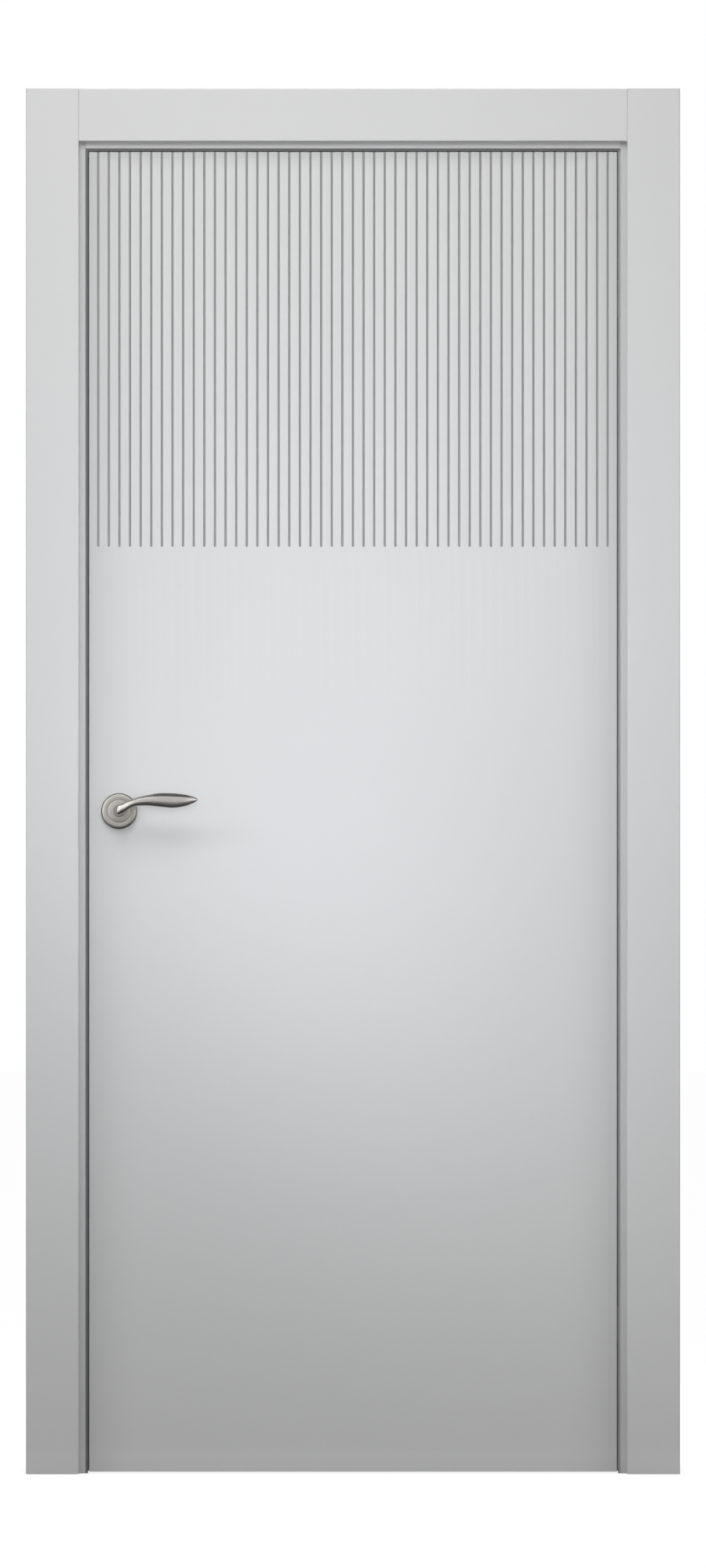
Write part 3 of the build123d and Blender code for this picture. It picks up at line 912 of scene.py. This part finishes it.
@dataclass
class LeverHandle:
    """Lever handle with its round rose on each face of the leaf. Lengths in metres."""

    rose_radius: float = 0.027
    rose_height: float = 0.009
    rose_around: int = 96
    rose_colour: Colour = (0.40, 0.385, 0.36)
    rose_crease: float = 28.0
    shoulder: float = 0.0022
    shoulder_start: float = 22.0
    shoulder_points: int = 8
    bevel_start: float = 0.0236
    bevel_drop: float = 0.0006
    chamfer: float = 0.0003
    line_radius: float = 0.0171
    line_step: float = 0.0002
    line_depth: float = 0.00018
    neck: float = 0.0083
    clearance: float = 0.00008
    around: int = 64
    along: int = 150
    grip_crease: float = 18.0
    crest_column: int = 6
    flattest: float = 0.5
    least: float = 0.02
    stations: Tuple[Station, ...] = (
        Station(0.0, 0.0, 1.0, 8.3, 8.3),
        Station(0.0, 0.0, 8.0, 8.3, 8.3),
        Station(0.0, 0.0, 14.0, 8.3, 8.3),
        Station(0.0, 0.0, 25.0, 8.3, 8.3),
        Station(0.2, 0.1, 35.5, 8.3, 7.6, 0.0, 0.7, 0.5),
        Station(3.2, 1.5, 41.8, 8.3, 6.4, 0.0, 3.2, 1.0),
        Station(11.0, 5.9, 45.9, 7.7, 6.2, 0.2, 1.2, 1.0),
        Station(24.0, 12.8, 49.6, 6.3, 5.8, 0.6, 0.0, 0.7),
        Station(42.0, 16.0, 51.0, 7.8, 5.1, 1.0, 0.0, 0.2),
        Station(62.0, 16.7, 51.3, 10.1, 4.8, 1.0, 0.0, 0.1),
        Station(82.0, 15.9, 51.0, 10.9, 4.5, 1.0, 0.0, 0.1),
        Station(99.0, 16.1, 50.0, 9.0, 4.0, 1.0, 0.0, 0.1),
        Station(112.0, 17.0, 48.8, 5.4, 3.0, 0.8),
        Station(118.0, 17.5, 48.2, 2.4, 1.9, 0.4),
        Station(120.0, 17.7, 48.0, 0.05, 0.05),
    )

    def grip(self, side: Side, material: bpy.types.Material) -> None:
        """Lever on one face of the leaf, standing for its node.

        An oval section is carried along a smooth path through the stations. Where it has a
        crest, the oval's upper outer part gives way to the straight chord from the crest
        to the top. A flat outer side raises the oval's depth to a power below 1.

        Args:
            side: Which face of the leaf.
            material: The nickel.
        """
        face = 0.0 if side is Side.FRONT else THICKNESS
        order = int(side.value)
        spindle = middle_of("spindle")
        rows = smooth_through(np.array(self.stations), self.along)
        along, above, away, half_height, half_depth, crest, extra, flat = rows.T[..., None]
        centre = np.hstack([along, side.value * away, above])
        path = np.gradient(centre, axis=0)
        path[:, 2] = 0.0
        path /= np.linalg.norm(path, axis=1, keepdims=True)
        up = np.array([0.0, 0.0, 1.0])
        out = -side.value * np.cross(path, up)

        turn = np.linspace(0.0, 2 * np.pi, self.around, endpoint=False)
        height, depth, outer = np.sin(turn), np.cos(turn), np.cos(turn) > 0.0
        power = 1.0 - self.flattest * np.clip(flat, 0.0, 1.0)
        depth = np.where(outer, np.abs(depth) ** power, depth)
        crest_turn = turn[self.crest_column]
        share = np.clip((turn - crest_turn) / (np.pi / 2 - crest_turn), 0.0, 1.0)
        chord_up = np.sin(crest_turn) + share * (1.0 - np.sin(crest_turn))
        chord_out = (1.0 - share) * np.cos(crest_turn)
        crest = np.clip(crest, 0.0, 1.0) * ((turn > crest_turn) & (turn < np.pi / 2))
        high = np.maximum(half_height, self.least) * (height + crest * (chord_up - height))
        deep = np.maximum(half_depth + extra * outer, self.least)
        deep = deep * (depth + crest * (chord_out - depth))
        points = centre[:, None] + high[..., None] * up + deep[..., None] * out[:, None]
        points = np.array([spindle.x, face, spindle.z]) + points / 1000

        ring = np.arange(self.around)
        last = (self.along - 1) * self.around + ring
        faces = grid_faces(self.along, self.around, wrap=True)
        shell = Shell()
        shell.add(points, faces[:, ::order], [ring[::-order]], [last[::order]])
        name, crease = f"lever_{side.word}_grip", self.grip_crease
        made = shell.piece(name, Body.HANDLE, "satin_nickel", material, crease)
        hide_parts(f"lever_{side.word}")

    def rose(self, side: Side, material: bpy.types.Material) -> None:
        """Round rose, standing for its node.

        A profile of radius and height is turned about the spindle: up the hole, over the
        face with one fine turned line, down a bevel with softened edges, and down the rim.

        Args:
            side: Which face of the leaf.
            material: The nickel.
        """
        face = 0.0 if side is Side.FRONT else THICKNESS
        spindle = middle_of("spindle")
        hole, rim, top = self.neck + self.clearance, self.rose_radius, self.rose_height
        step, dip = self.line_step, self.line_depth / 3
        line = [
            (self.line_radius + k * step, top - down)
            for k, down in zip(range(-2, 3), (0.0, dip, self.line_depth, dip, 0.0))
        ]
        round_off = np.radians(np.linspace(self.shoulder_start, 90.0, self.shoulder_points))
        shoulder_radius = rim - self.shoulder * (1.0 - np.sin(round_off))
        shoulder_height = top - self.bevel_drop - self.shoulder * (
            np.cos(round_off[0]) - np.cos(round_off)
        )
        profile = np.array(
            [
                (hole, 0.0),
                (hole, top - self.chamfer),
                (hole + self.chamfer, top),
                *line,
                (self.bevel_start, top),
                (self.bevel_start + step, top - dip),
                *zip(shoulder_radius, shoulder_height),
                (rim, 0.0),
            ]
        )
        turn = np.linspace(0.0, 2 * np.pi, self.rose_around, endpoint=False)
        radius, height = profile[:, :1], profile[:, 1:]
        y = face + side.value * height + 0 * turn
        x, z = spindle.x + radius * np.cos(turn), spindle.z + radius * np.sin(turn)
        faces = grid_faces(len(profile) + 1, self.rose_around, wrap=True) % y.size
        shell = Shell()
        shell.add(np.stack([x, y, z], -1), faces[:, :: int(side.value)])
        name = f"rose_{side.word}"
        made = shell.piece(name, Body.LEAF, "satin_nickel", material, self.rose_crease)
        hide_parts(f"rosette_{side.word}")

    def build(self) -> None:
        """Make both levers and roses and dress the spindle."""
        lever = SatinNickel("nickel_lever").material()
        spindle = middle_of("spindle")
        centre = (spindle.x, spindle.z)
        turned = SatinNickel(
            "nickel_rose", self.rose_colour, roughness=0.36, grain=0.02, centre=centre
        )
        rose = turned.material()
        for side in Side:
            self.grip(side, lever)
            self.rose(side, rose)
        dress("spindle", CastZinc("zinc_spindle").material())


class Recess(Enum):
    """Shape of the recess in a screw's head."""

    CROSS = "cross"
    HEX = "hex"


@dataclass(frozen=True)
class Screw:
    """Screw head that faces along X. Lengths in metres.

    Its dome rises above a rim that stands proud of the plate. The recess is so deep, and
    its reach and the width of the cross's arms are shares of the radius.
    """

    x: float
    y: float
    z: float
    out: float
    recess: Recess = Recess.CROSS
    radius: float = 0.0037
    proud: float = 0.0001
    rise: float = 0.0009
    sink: float = 0.0004
    depth: float = 0.0007
    cross_reach: float = 0.62
    cross_arm: float = 0.17
    hex_reach: float = 0.496
    rings: int = 18
    around: int = 72

    def recess_at(self, u: np.ndarray, v: np.ndarray) -> np.ndarray:
        """Whether points of the head lie in its recess.

        Args:
            u: Distances from the middle along Y.
            v: Distances from the middle along Z.

        Returns:
            True for each point within the cross or the hexagon.
        """
        u, v = abs(u) / self.radius, abs(v) / self.radius
        if self.recess is Recess.CROSS:
            return (np.maximum(u, v) < self.cross_reach) & (np.minimum(u, v) < self.cross_arm)
        return np.maximum(v, v / 2 + u * math.sqrt(3.0) / 2) < self.hex_reach

    def add_to(self, shell: Shell) -> None:
        """Add the head to a shell.

        The head is a height over a disc: a shallow dome that falls with the square of the
        distance from the middle, less the recess. Its rim goes down into the plate, and a
        disc closes it there.

        Args:
            shell: The shell that takes the head.
        """
        radius = self.radius * np.linspace(1.0, 0.0, self.rings)[:-1, None]
        turn = np.linspace(0.0, 2 * np.pi, self.around, endpoint=False)
        u, v = radius * np.cos(turn), radius * np.sin(turn)
        height = self.rise * (1.0 - (radius / self.radius) ** 2) + self.proud
        height = height - self.depth * self.recess_at(u, v)
        foot = np.full((1, self.around), -self.sink)
        height = np.vstack([foot, height]).ravel()
        u, v = np.vstack([u[:1], u]).ravel(), np.vstack([v[:1], v]).ravel()
        top = self.rise + self.proud - self.depth
        ring, last = np.arange(self.around), len(u)
        u, v, height = np.append(u, 0.0), np.append(v, 0.0), np.append(height, top)
        points = np.stack([self.x + self.out * height, self.y + u, self.z + v], -1)
        inmost = last - self.around + ring
        quads = grid_faces(self.rings, self.around, wrap=True)
        fan = np.stack([inmost, np.roll(inmost, -1), np.full(self.around, last)], -1)
        order = int(self.out)
        shell.add(points, quads[:, ::order], fan[:, ::order], [ring[::-order]])


@dataclass
class Fittings:
    """Concealed hinges, latch and strike, with their screws. Lengths in metres."""

    screw_zinc: Colour = (0.66, 0.66, 0.65)
    screw_crease: float = 30.0
    hinge_screws_at: Tuple[Tuple[float, float], ...] = (
        (-0.005, 0.056),
        (0.005, 0.068),
        (-0.005, -0.068),
        (0.005, -0.056),
    )
    hinge_adjusters_at: Tuple[float, float] = (0.04, -0.04)
    adjuster_radius: float = 0.0045
    plate_screw_radius: float = 0.0032
    latch_screws_at: float = 0.088
    strike_screws_at: float = 0.033

    def screws(self, name: str, body: Body, slot: str, heads: Sequence[Screw]) -> None:
        """Make the screws of one plate.

        Args:
            name: The piece's name.
            body: The body that the plate belongs to.
            slot: The record's material slot.
            heads: The screws.
        """
        shell = Shell()
        for head in heads:
            head.add_to(shell)
        finish = CastZinc(f"{name}_zinc", self.screw_zinc).material()
        shell.piece(name, body, slot, finish, self.screw_crease)

    def cup_screws(self, hinge: str, part: str, body: Body, out: float) -> None:
        """Make the screws of a hinge's cup, and its adjusting screws.

        Args:
            hinge: The hinge's name.
            part: "frame" or "leaf".
            body: The body that the cup belongs to.
            out: The way the cup's plate looks along X.
        """
        cup = f"{hinge}_{part}_cup"
        low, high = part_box(cup)
        x = low.x if out < 0 else high.x
        y, z = middle_of(cup).yz
        heads = [Screw(x, y + across, z + up, out) for across, up in self.hinge_screws_at]
        for up in self.hinge_adjusters_at:
            heads.append(Screw(x, y, z + up, out, Recess.HEX, self.adjuster_radius))
        self.screws(f"{hinge}_{part}_screws", body, "satin_zinc", heads)

    def plate_screws(self, name: str, node: str, body: Body, face: float, away: float) -> None:
        """Make the two screws of the latch's or the strike's plate.

        Args:
            name: The piece's name.
            node: The CAD node that holds the plate.
            body: The body that it belongs to.
            face: X of the plate's face.
            away: How far the screws lie from the plate's middle.
        """
        y, z = middle_of(node).yz
        out = -1.0 if body is Body.LEAF else 1.0
        heads = [
            Screw(face, y, z + up, out, radius=self.plate_screw_radius) for up in (-away, away)
        ]
        self.screws(name, body, "bright_nickel", heads)

    def build(self) -> None:
        """Dress the fittings and make their screws."""
        zinc = CastZinc().material()
        bright = SatinNickel("nickel_bright", roughness=0.2, brushed=(1.0, 1.0, 0.04)).material()
        for hinge in ("hinge_upper", "hinge_lower"):
            for piece in ("frame_cup", "leaf_cup", "arm"):
                dress(f"{hinge}_{piece}", zinc)
            self.cup_screws(hinge, "frame", Body.FRAME, -1.0)
            self.cup_screws(hinge, "leaf", Body.LEAF, 1.0)
        for node in ("latch_case", "latch_bolt", "strike_plate"):
            dress(node, bright)
        face, away = LATCH_EDGE + BEVEL / 2, self.latch_screws_at
        self.plate_screws("latch_screws", "latch_case", Body.LEAF, face, away)
        face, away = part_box("strike_plate")[1].x, self.strike_screws_at
        self.plate_screws("strike_screws", "strike_plate", Body.FRAME, face, away)


# The studio


@dataclass(frozen=True)
class Lamp:
    """A rectangular soft lamp aimed at a point. Lengths in metres."""

    name: str
    place: Point
    target: Point
    size: Tuple[float, float]
    watts: float
    colour: Colour = (1.0, 1.0, 1.0)
    spread: float = 180.0
    gloss: bool = True

    def build(self) -> None:
        """Hang the lamp."""
        data = bpy.data.lights.new(self.name, "AREA")
        data.shape = "RECTANGLE"
        data.size, data.size_y = self.size
        data.energy = self.watts
        data.color = self.colour
        data.spread = math.radians(self.spread)
        made = add_object(self.name, data)
        made.location = self.place
        made.visible_glossy = self.gloss
        aim = Vector(self.target) - Vector(self.place)
        made.rotation_euler = aim.to_track_quat("-Z", "Y").to_euler()


@dataclass
class Studio:
    """Pale floor, white surroundings, cards, soft lamps and the camera."""

    ambient: float = 0.515
    floor_reach: float = 14.0
    floor_grey: Tuple[float, ...] = (0.3, 0.3, 0.3, 1.0)
    floor_seen: float = 0.83
    dark_edge: float = 0.03
    card_power: float = 1.3
    wall_face: float = -0.02
    bright_start: float = -0.45
    camera_place: Point = (-0.445, -10.0, 1.045)
    frame_height: float = 2.3765
    sensor: float = 36.0
    lamps: Tuple[Lamp, ...] = (
        Lamp("high", (-0.75, -1.7, 3.1), (-0.5, 0.0, 1.6), (1.8, 1.2), 10.3, spread=110.0),
        Lamp(
            "front",
            (-0.5, -1.5, 1.1),
            (-0.45, 0.0, 1.1),
            (0.5, 0.5),
            1.24,
            colour=(0.87, 0.945, 1.0),
            spread=75.0,
            gloss=False,
        ),
        Lamp("left", (-1.85, -0.88, 1.83), (-0.29, 0.0, 0.63), (0.3, 0.3), 0.13, spread=22.5),
        Lamp("rear", (-0.3, 2.4, 2.6), (-0.45, 0.1, 1.2), (1.6, 1.2), 14.0, spread=110.0),
    )

    def seen(self, nodes: Nodes) -> Value:
        """Whether a ray is the camera's, a reflection's or one that passes through.

        Args:
            nodes: The node builder of the world or the floor.

        Returns:
            1 for such a ray, and 0 for one that only lights things.
        """
        path = nodes.node("ShaderNodeLightPath").outputs
        camera, glossy, through = (
            Value(nodes, path[f"Is {kind} Ray"]) for kind in ("Camera", "Glossy", "Transmission")
        )
        return nodes.math("MAXIMUM", nodes.math("MAXIMUM", camera, glossy), through)

    def surroundings(self) -> None:
        """World that lights evenly, and is white to the camera and in reflections."""
        nodes = Nodes("white_room", world=True)
        strength = nodes.between(self.seen(nodes), self.ambient, 1.0)
        white = {"Color": (1.0, 1.0, 1.0, 1.0), "Strength": strength}
        background = nodes.node("ShaderNodeBackground", None, white)
        nodes.node("ShaderNodeOutputWorld", None, {"Surface": background.outputs[0]})
        bpy.context.scene.world = nodes.owner

    def floor(self) -> None:
        """Pale floor that takes the shadow and is nearly white to the camera."""
        nodes = Nodes("pale_floor")
        matt = nodes.node("ShaderNodeBsdfDiffuse", None, {"Color": self.floor_grey})
        glow = nodes.glow(self.seen(nodes) * self.floor_seen)
        both = nodes.node("ShaderNodeAddShader", None, {0: matt.outputs[0], 1: glow})
        nodes.node("ShaderNodeOutputMaterial", None, {"Surface": both.outputs[0]})
        far = self.floor_reach
        corners = [(-far, -far, 0), (far, -far, 0), (far, far, 0), (-far, far, 0)]
        add_mesh("floor", corners, [(0, 1, 2, 3)], nodes.owner)

    def card(self, name: str, corners: Sequence[Point], dark: float, bright: float) -> None:
        """Card that only shows in reflections, shaded from the wall outwards.

        Args:
            name: The card's name.
            corners: Its four corners, two against the wall and two in front of it.
            dark: How bright it is against the wall.
            bright: How bright it is at its front end.
        """
        nodes = Nodes(name)
        _, y, _ = nodes.axes()
        back, front = corners[0][1], corners[2][1]
        along = nodes.math("MINIMUM", nodes.math("MAXIMUM", (y - back) / (front - back), 0.0), 1.0)
        strength = nodes.between(along**self.card_power, dark, bright)
        nodes.node("ShaderNodeOutputMaterial", None, {"Surface": nodes.glow(strength)})
        made = add_mesh(name, list(corners), [(0, 1, 2, 3)], nodes.owner)
        for ray in ("camera", "diffuse", "shadow", "transmission", "volume_scatter"):
            setattr(made, f"visible_{ray}", False)

    def cards(self) -> None:
        """Cards about the door: dark ones on its four sides and a bright one left and right.

        The dark ones draw the metal's edges, and the bright ones light the lever's neck
        and its tip. The lists hold how far each card reaches in front of the wall and how
        bright it is there.
        """
        left, right, low, high = -1.75, 0.85, 0.03, 2.5
        edges = {
            "above": ((left, high), (right, high), 1.5, 0.5),
            "below": ((left, low), (right, low), 6.0, 0.75),
            "left": ((left, low), (left, high), 0.45, 0.3),
            "right": ((right, low), (right, high), 0.45, 0.3),
        }
        for name, (start, end, reach, bright) in edges.items():
            back = [(x, self.wall_face, z) for x, z in (start, end)]
            front = [(x, -reach, z) for x, z in (end, start)]
            self.card(f"card_{name}", [*back, *front], self.dark_edge, bright)
        near = self.bright_start
        for name, x, reach, low, high, glow in (
            ("neck", -2.0, 5.0, 0.6, 2.3, 2.0),
            ("tip", 1.1, 5.2, 0.9, 2.1, 2.5),
        ):
            corners = [(x, near, low), (x, near, high), (x, -reach, high), (x, -reach, low)]
            self.card(f"card_{name}", corners, glow, glow)

    def camera(self) -> None:
        """Camera that looks straight at the door from the front."""
        data = bpy.data.cameras.new("camera")
        data.sensor_width = self.sensor
        data.lens = self.sensor * abs(self.camera_place[1]) / self.frame_height
        data.clip_end = 100.0
        made = add_object("camera", data)
        made.location = self.camera_place
        made.rotation_euler = (math.radians(90.0), 0.0, 0.0)
        bpy.context.scene.camera = made

    def build(self) -> None:
        """Set up the studio."""
        bpy.context.scene.view_settings.view_transform = "Standard"
        self.surroundings()
        self.floor()
        self.cards()
        self.camera()
        for lamp in self.lamps:
            lamp.build()


def main() -> None:
    """Build the studio and the door's sub-assemblies in order."""
    logging.basicConfig(level=logging.INFO, format="%(name)s %(message)s")
    for assembly in (Studio(), DoorFrame(), Leaf(), LeverHandle(), Fittings()):
        assembly.build()
        log.info("%s is built", type(assembly).__name__)


if __name__ == "__main__":
    main()
